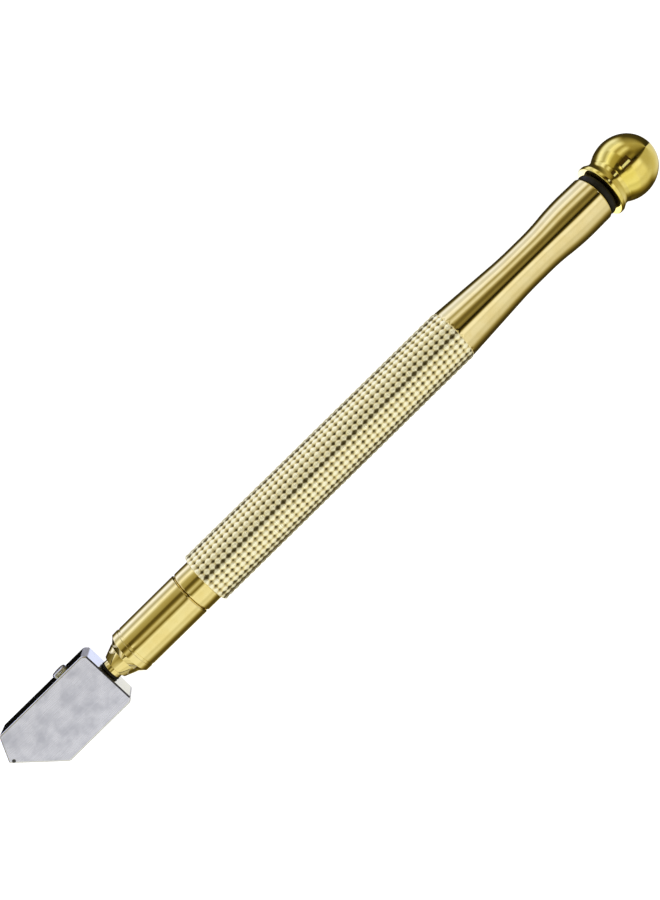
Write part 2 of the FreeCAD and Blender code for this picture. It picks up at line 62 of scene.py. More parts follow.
MM = 0.001
floor_z = cad_box[0][2]
ball_lo, ball_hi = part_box("ball_cap")
AXIS_Z = (ball_lo[2] + ball_hi[2]) / 2 / MM  # height of the tool's axis, mm


# ---------------------------------------------------------------- meshes
def arc(p0, p1, radius, side, steps):
    """Points after p0 up to p1 on an arc whose centre is on the left (+1) or right (-1) of the way."""
    a, b = np.array(p0, float), np.array(p1, float)
    way = b - a
    length = np.hypot(*way)
    left = np.array([-way[1], way[0]]) / length
    centre = (a + b) / 2 + left * side * math.sqrt(max(radius**2 - (length / 2) ** 2, 0))
    t0 = math.atan2(a[1] - centre[1], a[0] - centre[0])
    t1 = math.atan2(b[1] - centre[1], b[0] - centre[0])
    turn = (t1 - t0 + math.pi) % (2 * math.pi) - math.pi
    return [
        (
            centre[0] + radius * math.cos(t0 + turn * i / steps),
            centre[1] + radius * math.sin(t0 + turn * i / steps),
        )
        for i in range(1, steps + 1)
    ]


def rounded(points, closed=False):
    """A profile whose corners (x, r, radius) are rounded with short arcs; (x, r) stays sharp."""
    out, n = [], len(points)
    for i, p in enumerate(points):
        if len(p) == 2 or (not closed and i in (0, n - 1)):
            out.append(tuple(p[:2]))
            continue
        before, after = np.array(points[i - 1][:2], float), np.array(points[(i + 1) % n][:2], float)
        here, size = np.array(p[:2], float), p[2]
        u, v = before - here, after - here
        lu, lv = np.hypot(*u), np.hypot(*v)
        u, v = u / lu, v / lv
        half = math.acos(max(-1.0, min(1.0, float(u @ v)))) / 2
        run = min(size / math.tan(half), 0.45 * lu, 0.45 * lv)
        size = run * math.tan(half)
        centre = here + (u + v) / np.hypot(*(u + v)) * size / math.sin(half)
        start, end = here + u * run - centre, here + v * run - centre
        t0, t1 = math.atan2(start[1], start[0]), math.atan2(end[1], end[0])
        turn = (t1 - t0 + math.pi) % (2 * math.pi) - math.pi
        steps = max(2, int(abs(turn) / math.radians(15)))
        for k in range(steps + 1):
            t = t0 + turn * k / steps
            out.append((centre[0] + size * math.cos(t), centre[1] + size * math.sin(t)))
    return out


def new_object(name, verts, faces, body, nodes, sharp=32.0):
    mesh = bpy.data.meshes.new(name)
    mesh.from_pydata([tuple(v) for v in verts], [], faces)
    mesh.validate()
    obj = bpy.data.objects.new(name, mesh)
    bpy.context.scene.collection.objects.link(obj)
    finish_mesh(obj, sharp)
    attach(obj, body)
    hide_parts(*nodes)
    return obj


def finish_mesh(obj, sharp=32.0):
    bm = bmesh.new()
    bm.from_mesh(obj.data)
    bmesh.ops.remove_doubles(bm, verts=bm.verts, dist=1e-7)
    bmesh.ops.recalc_face_normals(bm, faces=bm.faces)
    bm.to_mesh(obj.data)
    bm.free()
    obj.data.shade_smooth()
    obj.data.set_sharp_from_angle(angle=math.radians(sharp))
    obj.data.update()


def grid_faces(rows, segments, loop):
    """Quads between rows of a turned mesh; loop joins the last row to the first."""
    faces = []
    last = rows if loop else rows - 1
    for i in range(last):
        a, b = i * segments, ((i + 1) % rows) * segments
        for k in range(segments):
            n = (k + 1) % segments
            faces.append((a + k, a + n, b + n, b + k))
    return faces


def turned(name, profile, body, nodes, segments=128, loop=True, sharp=32.0, centre=None):
    """A body turned about the tool axis. Profile points at radius 0 become poles."""
    cy, cz = (0.0, AXIS_Z) if centre is None else centre
    verts, faces, rings = [], [], []
    for x, r in profile:
        if r < 1e-6:
            rings.append([len(verts)])
            verts.append((x * MM, cy * MM, cz * MM))
        else:
            start = len(verts)
            for k in range(segments):
                t = 2 * math.pi * k / segments
                verts.append((x * MM, (cy + r * math.sin(t)) * MM, (cz + r * math.cos(t)) * MM))
            rings.append(list(range(start, start + segments)))
    pairs = list(zip(rings, rings[1:]))
    if loop:
        pairs.append((rings[-1], rings[0]))
    for a, b in pairs:
        if len(a) == 1 and len(b) == 1:
            continue
        for k in range(segments):
            n = (k + 1) % segments
            if len(a) == 1:
                faces.append((a[0], b[n], b[k]))
            elif len(b) == 1:
                faces.append((a[k], a[n], b[0]))
            else:
                faces.append((a[k], a[n], b[n], b[k]))
    return new_object(name, verts, faces, body, nodes, sharp)


def ring_of(name, x, ring_radius, cord_radius, body, node, flash=0.0, segments=128, around=28):
    """A round-section rubber ring with the faint moulding line that such a ring has at its girth."""
    profile = []
    for k in range(around):
        t = 2 * math.pi * k / around
        grow = flash * math.exp(-((math.sin(t) / 0.12) ** 2)) if math.cos(t) > 0 else 0.0
        r = cord_radius - flash + grow
        profile.append((x + r * math.sin(t), ring_radius + r * math.cos(t)))
    return turned(name, profile, body, [node], segments=segments, sharp=80.0)


def boolean(obj, cutters, sharp=32.0):
    """Cuts the cutters out of an object and throws them away."""
    for i, cutter in enumerate(cutters):
        mod = obj.modifiers.new(f"cut{i}", "BOOLEAN")
        mod.operation, mod.solver, mod.object = "DIFFERENCE", "EXACT", cutter
    bpy.context.view_layer.update()
    dg = bpy.context.evaluated_depsgraph_get()
    mesh = bpy.data.meshes.new_from_object(obj.evaluated_get(dg))
    obj.modifiers.clear()
    old = obj.data
    obj.data = mesh
    bpy.data.meshes.remove(old)
    for cutter in cutters:
        bpy.data.objects.remove(cutter)
    bm = bmesh.new()
    bm.from_mesh(obj.data)
    bmesh.ops.remove_doubles(bm, verts=bm.verts, dist=2e-7)
    bmesh.ops.dissolve_degenerate(bm, edges=bm.edges, dist=1e-7)
    bm.to_mesh(obj.data)
    bm.free()
    obj.data.shade_smooth()
    obj.data.set_sharp_from_angle(angle=math.radians(sharp))


def cutter_box(lo, hi):
    bm = bmesh.new()
    bmesh.ops.create_cube(bm, size=1.0)
    for v in bm.verts:
        v.co = Vector([(lo[i] + hi[i]) / 2 * MM + v.co[i] * (hi[i] - lo[i]) * MM for i in range(3)])
    mesh = bpy.data.meshes.new("cutter")
    bm.to_mesh(mesh)
    bm.free()
    obj = bpy.data.objects.new("cutter", mesh)
    bpy.context.scene.collection.objects.link(obj)
    return obj


def cutter_rod(start, end, radius, segments=64, end_radius=None):
    a, b = Vector(start) * MM, Vector(end) * MM
    bm = bmesh.new()
    bmesh.ops.create_cone(
        bm,
        cap_ends=True,
        segments=segments,
        radius1=radius * MM,
        radius2=(radius if end_radius is None else end_radius) * MM,
        depth=(b - a).length,
        matrix=Matrix.Translation((a + b) / 2) @ (b - a).to_track_quat("Z", "Y").to_matrix().to_4x4(),
    )
    mesh = bpy.data.meshes.new("cutter")
    bm.to_mesh(mesh)
    bm.free()
    obj = bpy.data.objects.new("cutter", mesh)
    bpy.context.scene.collection.objects.link(obj)
    return obj


# ---------------------------------------------------------------- barrel
ROWS = 27  # rows of the knurl round the grip
RING_PITCH = 1.5
RING_START = -35.65
ROW_PHASE = math.radians(9.8)
ROW_DEPTH, RING_DEPTH, PIT_DEPTH = 0.13, 0.12, 0.36
GRIP_R = 5.96
rng = np.random.default_rng(7)
# how dark each groove is drawn, painted shade with some dirt; a few grooves are darker than the rest
GROOVE_SHADE_AND_DIRT = rng.uniform(0.14, 0.34, ROWS)
GROOVE_SHADE_AND_DIRT[[0, 5, 6, 11, 18, 21, 22, 23]] = (0.56, 0.42, 0.60, 0.55, 0.46, 0.72, 1.00, 0.44)
PIT_SHADE_AND_DIRT = rng.uniform(0.58, 0.86, ROWS)
PIT_SHADE_AND_DIRT[[0, 1, 2, 3, 5, 22, 23, 24, 26]] = (0.98, 0.84, 0.60, 0.58, 1.10, 1.0, 0.92, 0.56, 0.56)
# the lower the power, the wider the darkened patch
GROOVE_SHADE_AND_DIRT_POWER, PIT_SHADE_AND_DIRT_POWER = np.full(ROWS, 1.0), np.full(ROWS, 0.6)
GROOVE_SHADE_AND_DIRT_POWER[[0, 21, 22]] = (0.8, 0.6, 0.5)
PIT_SHADE_AND_DIRT_POWER[[0, 5, 22, 23]] = (0.48, 0.26, 0.24, 0.42)


def knurl_barrel():
    per_row = 7
    segments = ROWS * per_row
    # samples inside one cell of the knurl, closer together beside the grooves
    cell = np.array([0.0, 0.10, 0.235, 0.41, 0.59, 0.765, 0.90])
    theta = np.concatenate([(i + cell) / ROWS for i in range(ROWS)]) * 2 * math.pi + ROW_PHASE
    row_s = np.abs(((np.tile(cell, ROWS) + 0.5) % 1.0) - 0.5) * 2  # 0 in the groove, 1 on the crest
    row_i = np.repeat(np.arange(ROWS), per_row)
    groove = (row_i + (np.tile(cell, ROWS) > 0.5)) % ROWS  # the nearest groove of each sample

    front, rear = -36.55, 33.1
    rings = int((rear - RING_START) / RING_PITCH) + 2
    xs = [front + 0.0]
    cell_x = np.array([0.0, 0.085, 0.2, 0.35, 0.5, 0.65, 0.8, 0.915])
    for i in range(-1, rings):
        for c in cell_x:
            x = RING_START + (i + c) * RING_PITCH
            if front + 0.03 < x < rear - 0.03:
                xs.append(x)
    xs += [rear]
    xs = np.array(xs)

    before = [
        (-40.85, 4.0),
        (-40.85, 4.68),
        (-40.835, 4.74),
        (-40.79, 4.80),
        (-40.68, 4.91),
        (-40.62, 4.96),
        (-40.54, 4.99),
        (-40.44, 5.0),
        (-39.0, 5.0),
        (-36.95, 5.0),
        (-36.84, 5.025),
        (-36.8, 5.09),
        (-36.8, 5.58),
        (-36.775, 5.65),
    ]
    after = [(33.35, 5.74), (33.9, 5.74)]
    for i in range(1, 13):  # straight cone
        t = i / 12
        after.append((33.9 + t * (48.5 - 33.9), 5.74 + t * (4.79 - 5.74)))
    after += arc((48.5, 4.79), (53.5, 4.64), 84.0, 1, 8)
    after += [(54.7, 4.64), (55.9, 4.64), (57.0, 4.64)]
    after += arc((57.0, 4.64), (62.3, 4.95), 48.0, 1, 9)
    after += arc((62.3, 4.95), (68.2, 5.28), 54.0, -1, 9)
    after += [(70.6, 5.245), (72.9, 5.212), (72.985, 5.205), (73.09, 5.18), (73.18, 5.12)]
    after += [(73.25, 5.03), (73.285, 4.94), (73.3, 4.85)]
    after += [(73.3, 4.2), (73.3, 3.42), (73.27, 3.33), (73.2, 3.25), (73.1, 3.16), (73.0, 3.06)]
    bore = [(65.0, 3.05), (64.5, 3.5), (40.0, 3.5), (10.0, 3.5), (-32.6, 3.5), (-32.6, 4.0)]

    sin, cos = np.sin(theta), np.cos(theta)
    verts, shade_and_dirt, crest_highlight_and_wear = [], [], []

    def add(x, radius, shade_dirt_amount=0.0, crest=0.0):
        radius = np.broadcast_to(radius, theta.shape)
        verts.append(
            np.stack(
                [np.full(theta.shape, x), radius * sin, AXIS_Z + radius * cos], axis=1
            )
        )
        shade_and_dirt.append(np.broadcast_to(shade_dirt_amount, theta.shape))
        crest_highlight_and_wear.append(np.broadcast_to(crest, theta.shape))

    for x, r in before:
        add(x, r)
    # every bump is a little different, as rolled knurls are
    jitter = rng.normal(0.0, 0.012, (rings + 3, ROWS))
    uneven = rng.uniform(0.72, 1.12, (rings + 3, ROWS))
    for x in xs:
        u = (x - RING_START) / RING_PITCH
        ring_s = abs(((u + 0.5) % 1.0) - 0.5) * 2
        i = int(math.floor(u)) + 1
        if x <= RING_START - RING_PITCH / 2:
            ring_s = 1.0
        # a shallow groove along each row and each ring, and a deep pit where two of them cross
        g_row, g_ring = (1 - row_s) ** 1.9, (1 - ring_s) ** 1.9
        pit = g_row * g_ring
        pillow = 0.05 * (1 - row_s) * (1 - ring_s)
        lift = jitter[max(0, min(i, rings + 2)), row_i] * row_s * ring_s
        r = GRIP_R - 0.02 - ROW_DEPTH * g_row - RING_DEPTH * g_ring - PIT_DEPTH * pit - pillow
        r = r + np.clip(lift, -0.03, 0.02)
        r = np.minimum(r, 5.68 + (x + 36.8) * 1.28) if x < -36.2 else r
        r = np.minimum(r, 5.74 + max(0.0, (33.35 - x)))
        patch = uneven[max(0, min(int(round(u)) + 1, rings + 2)), groove]
        # painted shade with some dirt: how dark each sample is drawn, strongest in the pits, weaker in the grooves
        depth = GROOVE_SHADE_AND_DIRT[groove] * g_row ** GROOVE_SHADE_AND_DIRT_POWER[groove] + 0.16 * g_ring
        depth = depth + PIT_SHADE_AND_DIRT[groove] * patch * pit ** PIT_SHADE_AND_DIRT_POWER[groove]
        # the last value makes the crests paler in the material, a painted highlight with some wear
        add(x, r, np.clip(depth, 0, 1), np.clip(1.0 - 0.75 * g_row - 0.75 * g_ring, 0, 1))
    for x, r in after:
        add(x, r)
    # thread inside the mouth, 1 mm pitch, as a true helix
    # the thread here (0.25) and the bore after it (0.35) are drawn darker, painted shade inside the hollow
    mouth = np.arange(72.95, 65.3, -0.125)
    for x in mouth:
        phase = (x + theta / (2 * math.pi)) % 1.0
        tooth = np.abs(phase - 0.5) * 2
        fade = min(1.0, (73.0 - x) / 0.6, (x - 65.2) / 0.5)
        add(x, 3.05 + 0.3 * np.clip(tooth * 1.3 - 0.15, 0, 1) * max(fade, 0.0), 0.25)
    for x, r in bore:
        add(x, r, 0.35)

    rows = len(verts)
    faces = grid_faces(rows, segments, True)
    flat = np.concatenate(verts) * MM
    mesh = bpy.data.meshes.new("barrel_knurled")
    mesh.from_pydata(flat.tolist(), [], faces)
    obj = bpy.data.objects.new("barrel_knurled", mesh)
    bpy.context.scene.collection.objects.link(obj)
    for name, values in (("shade_and_dirt", shade_and_dirt), ("crest", crest_highlight_and_wear)):
        layer = mesh.attributes.new(name, "FLOAT", "POINT")
        layer.data.foreach_set("value", np.concatenate(values).astype(np.float32))
    bm = bmesh.new()
    bm.from_mesh(mesh)
    bmesh.ops.recalc_face_normals(bm, faces=bm.faces)
    bm.to_mesh(mesh)
    bm.free()
    mesh.shade_smooth()
    mesh.set_sharp_from_angle(angle=math.radians(62))
    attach(obj, "handle")
    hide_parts("barrel")
    return obj


barrel = knurl_barrel()

# ---------------------------------------------------------------- nose sleeve
nose_profile = rounded(
    [
        (-61.75, 2.3, 0.08),
        (-61.75, 2.9, 0.10),
        (-59.0, 4.0, 0.10),
        (-57.8, 5.0, 0.14),
        (-56.5, 5.0, 0.03),
        (-56.42, 4.92, 0.03),
        (-55.88, 4.92, 0.03),
        (-55.8, 5.0, 0.03),
        (-41.25, 5.0, 0.12),
        (-40.95, 4.7, 0.08),
        (-40.95, 4.0),
        (-33.12, 4.0),
        (-33.0, 3.88),
        (-33.0, 2.85),
        (-55.0, 2.85),
        (-55.0, 1.75),
        (-60.55, 1.75),
        (-60.55, 2.3),
    ],
    closed=True,
)
nose = turned("nose_turned", nose_profile, "handle", ["nose_sleeve"], segments=160, sharp=28.0)

# ---------------------------------------------------------------- stem and its rings
stem_profile = rounded(
    [
        (-73.0, 0.55),
        (-73.0, 1.5, 0.05),
        (-72.8, 1.7, 0.05),
        (-71.0, 1.7, 0.05),
        (-71.0, 1.2),
        (-69.4, 1.2),
        (-69.4, 1.7, 0.05),
        (-62.9, 1.7),
        (-62.9, 2.2, 0.12),
        (-61.3, 2.2, 0.12),
        (-61.3, 1.7),
        (-54.95, 1.7),
        (-54.95, 2.78, 0.1),
        (-53.6, 2.78, 0.05),
        (-53.6, 2.0),
        (-52.2, 2.0),
        (-52.2, 2.78, 0.05),
        (-50.4, 2.78, 0.1),
        (-50.4, 1.2),
        (-47.6, 1.2, 0.1),
        (-47.6, 0.55),
        (-45.2, 0.55),
        (-45.2, 0.0),
        (-48.6, 0.0),
        (-48.6, 0.55),
    ],
    closed=True,
)
stem = turned("stem_turned", stem_profile, "stem", ["stem"], segments=96, sharp=28.0)
boolean(stem, [cutter_rod((-49.2, 0, AXIS_Z - 3), (-49.2, 0, AXIS_Z + 3), 0.4, 32)], 28.0)
neck_ring = ring_of("neck_ring_rubber", -63.2, 2.0, 0.27, "stem", "neck_ring", 0.012, 96, 24)
stem_seal = ring_of("stem_seal_rubber", -52.9, 2.41, 0.39, "stem", "stem_seal", 0.012, 96, 24)
cap_seal = ring_of("cap_seal_rubber", 74.3, 4.1, 0.93, "cap_seal", "cap_seal", 0.02, 144, 36)


# ---------------------------------------------------------------- ball cap
def build_cap():
    """Threaded stem, flange, neck and ball in one piece; the thread is a true 1 mm helix."""
    segments = 144
    theta = np.arange(segments) / segments * 2 * math.pi
    rows = []

    def add(x, radius):
        rows.append((x, np.broadcast_to(radius, theta.shape)))

    for x, r in ((66.8, 1.4), (66.8, 2.0), (66.8, 2.38), (66.83, 2.45), (66.88, 2.5)):
        add(x, r)
    for x in np.arange(67.0, 75.0, 0.125):
        phase = (x + theta / (2 * math.pi)) % 1.0
        tooth = np.clip(np.abs(phase - 0.5) * 2.6 - 0.25, 0, 1)
        fade = float(np.clip((74.9 - x) / 0.35, 0, 1))
        lead = float(np.clip((x - 66.85) / 0.5, 0, 1))
        top = 2.5 + 0.45 * lead
        add(x, top - 0.42 * (1 - tooth) * (0.35 + 0.65 * lead) * fade - 0.3 * (1 - fade))
    for x, r in ((75.05, 2.62), (75.22, 2.66), (75.3, 2.75)):
        add(x, r)
    for x, r in ((75.3, 4.2), (75.3, 5.78)):
        add(x, r)
    for x, r in arc((75.3, 5.82), (75.58, 6.1), 0.28, -1, 5):
        add(x, r)
    for x, r in ((75.75, 6.1), (75.95, 6.1), (76.06, 6.085), (76.15, 6.05), (76.22, 6.0)):
        add(x, r)
    # a cove runs from the rim into the ball
    for i in range(1, 13):
        t = i / 13
        add(76.22 + t * (78.3 - 76.22), 6.0 + t * (5.499 - 6.0) - 0.235 * math.sin(math.pi * t) ** 1.2)
    rise = 82.3 - 78.3
    start = math.atan2(math.sqrt(6.8**2 - rise**2), -rise)
    for i in range(0, 56):
        t = start * (1 - i / 56)
        add(82.3 + 6.8 * math.cos(t), 6.8 * math.sin(t))
    verts, faces = [], []
    for x, r in rows:
        for k in range(segments):
            verts.append(
                (x * MM, float(r[k]) * math.sin(theta[k]) * MM, (AXIS_Z + float(r[k]) * math.cos(theta[k])) * MM)
            )
    faces = grid_faces(len(rows), segments, False)
    first, last = len(verts), len(verts) + 1
    verts += [(66.8 * MM, 0, AXIS_Z * MM), (89.1 * MM, 0, AXIS_Z * MM)]
    base = (len(rows) - 1) * segments
    for k in range(segments):
        n = (k + 1) % segments
        faces.append((first, n, k))
        faces.append((last, base + k, base + n))
    return new_object("cap_turned", verts, faces, "cap", ["ball_cap"], sharp=34.0)


cap = build_cap()

# ---------------------------------------------------------------- head
TIP = (-89.1, 1.55)
HALF_W, THICK = 6.75, 6.5


def build_head():
    bm = bmesh.new()
    outline = [
        (TIP[0] + (TIP[1] + HALF_W), -HALF_W),
        (-63.5 - 0.75, -HALF_W),
        (-63.5, 0.75 - HALF_W),
        (-63.5, HALF_W - 0.75),
        (-63.5 - 0.75, HALF_W),
        (TIP[0] + 2.55, HALF_W),
    ]
    # the point is rounded at 0.3 mm
    lower = Vector((outline[0][0] - TIP[0], outline[0][1] - TIP[1])).normalized()
    upper = Vector((outline[-1][0] - TIP[0], outline[-1][1] - TIP[1])).normalized()
    half = lower.angle(upper) / 2
    middle = (lower + upper).normalized()
    centre = Vector(TIP) + middle * 0.3 / math.sin(half)
    start = Vector(TIP) + upper * 0.3 / math.tan(half) - centre
    end = Vector(TIP) + lower * 0.3 / math.tan(half) - centre
    t0, t1 = math.atan2(start.y, start.x), math.atan2(end.y, end.x)
    turn = (t1 - t0) % (2 * math.pi)
    if turn > math.pi:
        turn -= 2 * math.pi
    for i in range(7):
        t = t0 + turn * i / 6
        outline.append((centre.x + 0.3 * math.cos(t), centre.y + 0.3 * math.sin(t)))
    loops = []
    for z in (AXIS_Z - THICK / 2, AXIS_Z + THICK / 2):
        loops.append([bm.verts.new((x * MM, y * MM, z * MM)) for x, y in outline])
    bottom = bm.faces.new(list(reversed(loops[0])))
    top = bm.faces.new(loops[1])
    n = len(outline)
    for i in range(n):
        j = (i + 1) % n
        bm.faces.new((loops[0][i], loops[0][j], loops[1][j], loops[1][i]))
    bmesh.ops.recalc_face_normals(bm, faces=bm.faces)
    rim = [e for f in (top, bottom) for e in f.edges]
    posts = [
        e
        for e in bm.edges
        if abs(e.verts[0].co.z - e.verts[1].co.z) > 1e-4
        and e.calc_face_angle(0) > math.radians(25)
    ]
    bmesh.ops.bevel(
        bm,
        geom=rim + posts,
        offset=0.34 * MM,
        offset_type="OFFSET",
        segments=4,
        profile=0.5,
        affect="EDGES",
        clamp_overlap=True,
    )
    mesh = bpy.data.meshes.new("head_ground")
    bm.to_mesh(mesh)
    bm.free()
    obj = bpy.data.objects.new("head_ground", mesh)
    bpy.context.scene.collection.objects.link(obj)
    cutters = [
        cutter_rod((-73.2, 0, AXIS_Z), (-62.5, 0, AXIS_Z), 1.74, 96),
        cutter_rod((-63.72, 0, AXIS_Z), (-63.3, 0, AXIS_Z), 1.72, 96, 2.16),
        cutter_rod((-86.7, 0, AXIS_Z), (-73.0, 0, AXIS_Z), 0.8, 64),
        cutter_box((-92.0, -9.0, AXIS_Z - 0.4), (-86.2, 9.0, AXIS_Z + 0.4)),
        cutter_rod((-88.1, 1.2, AXIS_Z - 5), (-88.1, 1.2, AXIS_Z + 5), 0.39, 48),
        cutter_rod((-70.2, 0.5, AXIS_Z), (-70.2, 8.5, AXIS_Z), 1.0, 48),
    ]
    boolean(obj, cutters, 26.0)
    obj.modifiers.new("face_weighted", "WEIGHTED_NORMAL").keep_sharp = True
    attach(obj, "head")
    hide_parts("head_block")
    return obj


head = build_head()


def build_screw():
    """Slotted pan head, round edge, shank with a thread and a dog point; turned about the Y axis."""
    x0, z0 = -70.2, AXIS_Z
    segments = 72
    profile = [(7.65, 0.0), (7.65, 0.6), (7.645, 1.05), (7.62, 1.28), (7.56, 1.43), (7.46, 1.53), (7.32, 1.585), (7.1, 1.6), (6.82, 1.6), (6.75, 1.56), (6.75, 1.0)]
    theta = np.arange(segments) / segments * 2 * math.pi
    rows = [(y, np.full(segments, r)) for y, r in profile]
    for y in np.arange(6.7, 2.45, -0.075):
        phase = (y / 0.4 + theta / (2 * math.pi)) % 1.0
        tooth = np.clip(np.abs(phase - 0.5) * 2.6 - 0.25, 0, 1)
        fade = float(np.clip((6.7 - y) / 0.3, 0, 1)) * float(np.clip((y - 2.45) / 0.2, 0, 1))
        rows.append((y, 0.995 - 0.17 * (1 - tooth) * fade))
    for y, r in ((2.4, 0.8), (2.4, 0.7), (1.36, 0.7), (1.26, 0.6), (1.26, 0.0)):
        rows.append((y, np.full(segments, r)))
    verts, faces, rings = [], [], []
    for y, r in rows:
        if r[0] < 1e-6:
            rings.append([len(verts)])
            verts.append((x0 * MM, y * MM, z0 * MM))
            continue
        rings.append(list(range(len(verts), len(verts) + segments)))
        for k in range(segments):
            verts.append(
                ((x0 + r[k] * math.cos(theta[k])) * MM, y * MM, (z0 + r[k] * math.sin(theta[k])) * MM)
            )
    for a, b in zip(rings, rings[1:]):
        for k in range(segments):
            n = (k + 1) % segments
            if len(a) == 1:
                faces.append((a[0], b[k], b[n]))
            elif len(b) == 1:
                faces.append((a[k], b[0], a[n]))
            else:
                faces.append((a[k], b[k], b[n], a[n]))
    obj = new_object("screw_slotted", verts, faces, "head", ["head_screw"], sharp=34.0)
    # the slot lies a little askew, as a hand-set screw's does
    slot = cutter_box((-2.2, 7.2, -0.275), (2.2, 8.4, 0.275))
    slot.data.transform(
        Matrix.Translation((x0 * MM, 0, z0 * MM)) @ Matrix.Rotation(math.radians(28), 4, "Y")
    )
    boolean(obj, [slot], 34.0)
    return obj


screw = build_screw()


def build_wheel():
    """Cutting wheel: two ground bevels that meet in an edge, and a bore; turned about Z."""
    segments = 160
    cx, cy, cz = -88.1, 1.2, AXIS_Z
    profile = [
        (0.35, 0.46),
        (0.35, 1.30),
        (0.335, 1.345),
        (0.0, 1.5),
        (-0.335, 1.345),
        (-0.35, 1.30),
        (-0.35, 0.46),
        (-0.31, 0.42),
        (0.31, 0.42),
    ]
    verts, faces = [], []
    for z, r in profile:
        for k in range(segments):
            t = 2 * math.pi * k / segments
            verts.append(((cx + r * math.cos(t)) * MM, (cy + r * math.sin(t)) * MM, (cz + z) * MM))
    faces = grid_faces(len(profile), segments, True)
    return new_object("wheel_ground", verts, faces, "wheel", ["cutting_wheel"], sharp=20.0)


wheel = build_wheel()


# ---------------------------------------------------------------- materials
class Look:
    """A node material round one Principled shader. Coordinates are the piece's own, in mm."""

    def __init__(self, name):
        self.material = bpy.data.materials.new(name)
        self.material.use_nodes = True
        self.tree = self.material.node_tree
        self.shader = self.tree.nodes["Principled BSDF"]
        self.coord = self.node("ShaderNodeTexCoord")

    def node(self, kind, **settings):
        made = self.tree.nodes.new(kind)
        for key, value in settings.items():
            setattr(made, key, value)
        return made

    def link(self, a, b):
        self.tree.links.new(a, b)
        return b

    def math(self, operation, a, b=None, c=None, clamp=False):
        made = self.node("ShaderNodeMath", operation=operation, use_clamp=clamp)
        for i, value in enumerate((a, b, c)):
            if value is None:
                continue
            if isinstance(value, (int, float)):
                made.inputs[i].default_value = value
            else:
                self.link(value, made.inputs[i])
        return made.outputs[0]

    def ramp(self, value, low, high, out_low, out_high, smooth=True):
        made = self.node(
            "ShaderNodeMapRange", interpolation_type="SMOOTHSTEP" if smooth else "LINEAR"
        )
        self.link(value, made.inputs["Value"])
        for key, number in (
            ("From Min", low),
            ("From Max", high),
            ("To Min", out_low),
            ("To Max", out_high),
        ):
            made.inputs[key].default_value = number
        return made.outputs["Result"]

    def mix(self, factor, a, b):
        made = self.node("ShaderNodeMix", data_type="RGBA")
        for socket, value in (
            (made.inputs["Factor"], factor),
            (made.inputs["A"], a),
            (made.inputs["B"], b),
        ):
            if socket.name == "Factor":
                if isinstance(value, (int, float)):
                    socket.default_value = value
                else:
                    self.link(value, socket)
        colours = [s for s in made.inputs if s.type == "RGBA"]
        for socket, value in zip(colours, (a, b)):
            if isinstance(value, tuple):
                socket.default_value = (*value, 1.0)
            else:
                self.link(value, socket)
        factor_socket = made.inputs[0]
        if not isinstance(factor, (int, float)) and not factor_socket.is_linked:
            self.link(factor, factor_socket)
        return [s for s in made.outputs if s.type == "RGBA"][0]

    def mapped(self, scale):
        made = self.node("ShaderNodeMapping")
        self.link(self.coord.outputs["Object"], made.inputs["Vector"])
        made.inputs["Scale"].default_value = [s * 1000.0 for s in scale]  # per mm
        return made.outputs["Vector"]

    def noise(self, vector, scale=1.0, detail=2.0, roughness=0.5, distortion=0.0):
        made = self.node("ShaderNodeTexNoise")
        self.link(vector, made.inputs["Vector"])
        made.inputs["Scale"].default_value = scale
        made.inputs["Detail"].default_value = detail
        made.inputs["Roughness"].default_value = roughness
        made.inputs["Distortion"].default_value = distortion
        return made.outputs["Fac"]

    def attribute(self, name):
        made = self.node("ShaderNodeAttribute", attribute_name=name)
        return made.outputs["Fac"]

    def turning(self, pitch_scale):
        """Fine rings round the tool axis on cylinders, cones and end faces alike."""
        split = self.node("ShaderNodeSeparateXYZ")
        self.link(self.coord.outputs["Object"], split.inputs[0])
        dz = self.math("SUBTRACT", split.outputs["Z"], AXIS_Z * MM)
        radius = self.math(
            "SQRT",
            self.math(
                "ADD", self.math("MULTIPLY", split.outputs["Y"], split.outputs["Y"]), self.math("MULTIPLY", dz, dz)
            ),
        )
        along = self.math(
            "MULTIPLY", self.math("ADD", split.outputs["X"], radius), 1000.0 * pitch_scale
        )
        join = self.node("ShaderNodeCombineXYZ")
        self.link(along, join.inputs["X"])
        self.link(self.math("MULTIPLY", split.outputs["Y"], 60.0), join.inputs["Y"])
        self.link(self.math("MULTIPLY", dz, 60.0), join.inputs["Z"])
        return join.outputs[0]

    def bump(self, height, distance_mm, strength=1.0, previous=None):
        made = self.node("ShaderNodeBump")
        self.link(height, made.inputs["Height"])
        made.inputs["Strength"].default_value = strength
        made.inputs["Distance"].default_value = distance_mm * MM
        if previous is not None:
            self.link(previous, made.inputs["Normal"])
        return made.outputs["Normal"]

    def set(self, **values):
        for key, value in values.items():
            socket = self.shader.inputs[key.replace("_", " ")]
            if isinstance(value, tuple):
                socket.default_value = (*value, 1.0)
            elif isinstance(value, (int, float)):
                socket.default_value = value
            else:
                self.link(value, socket)
        return self


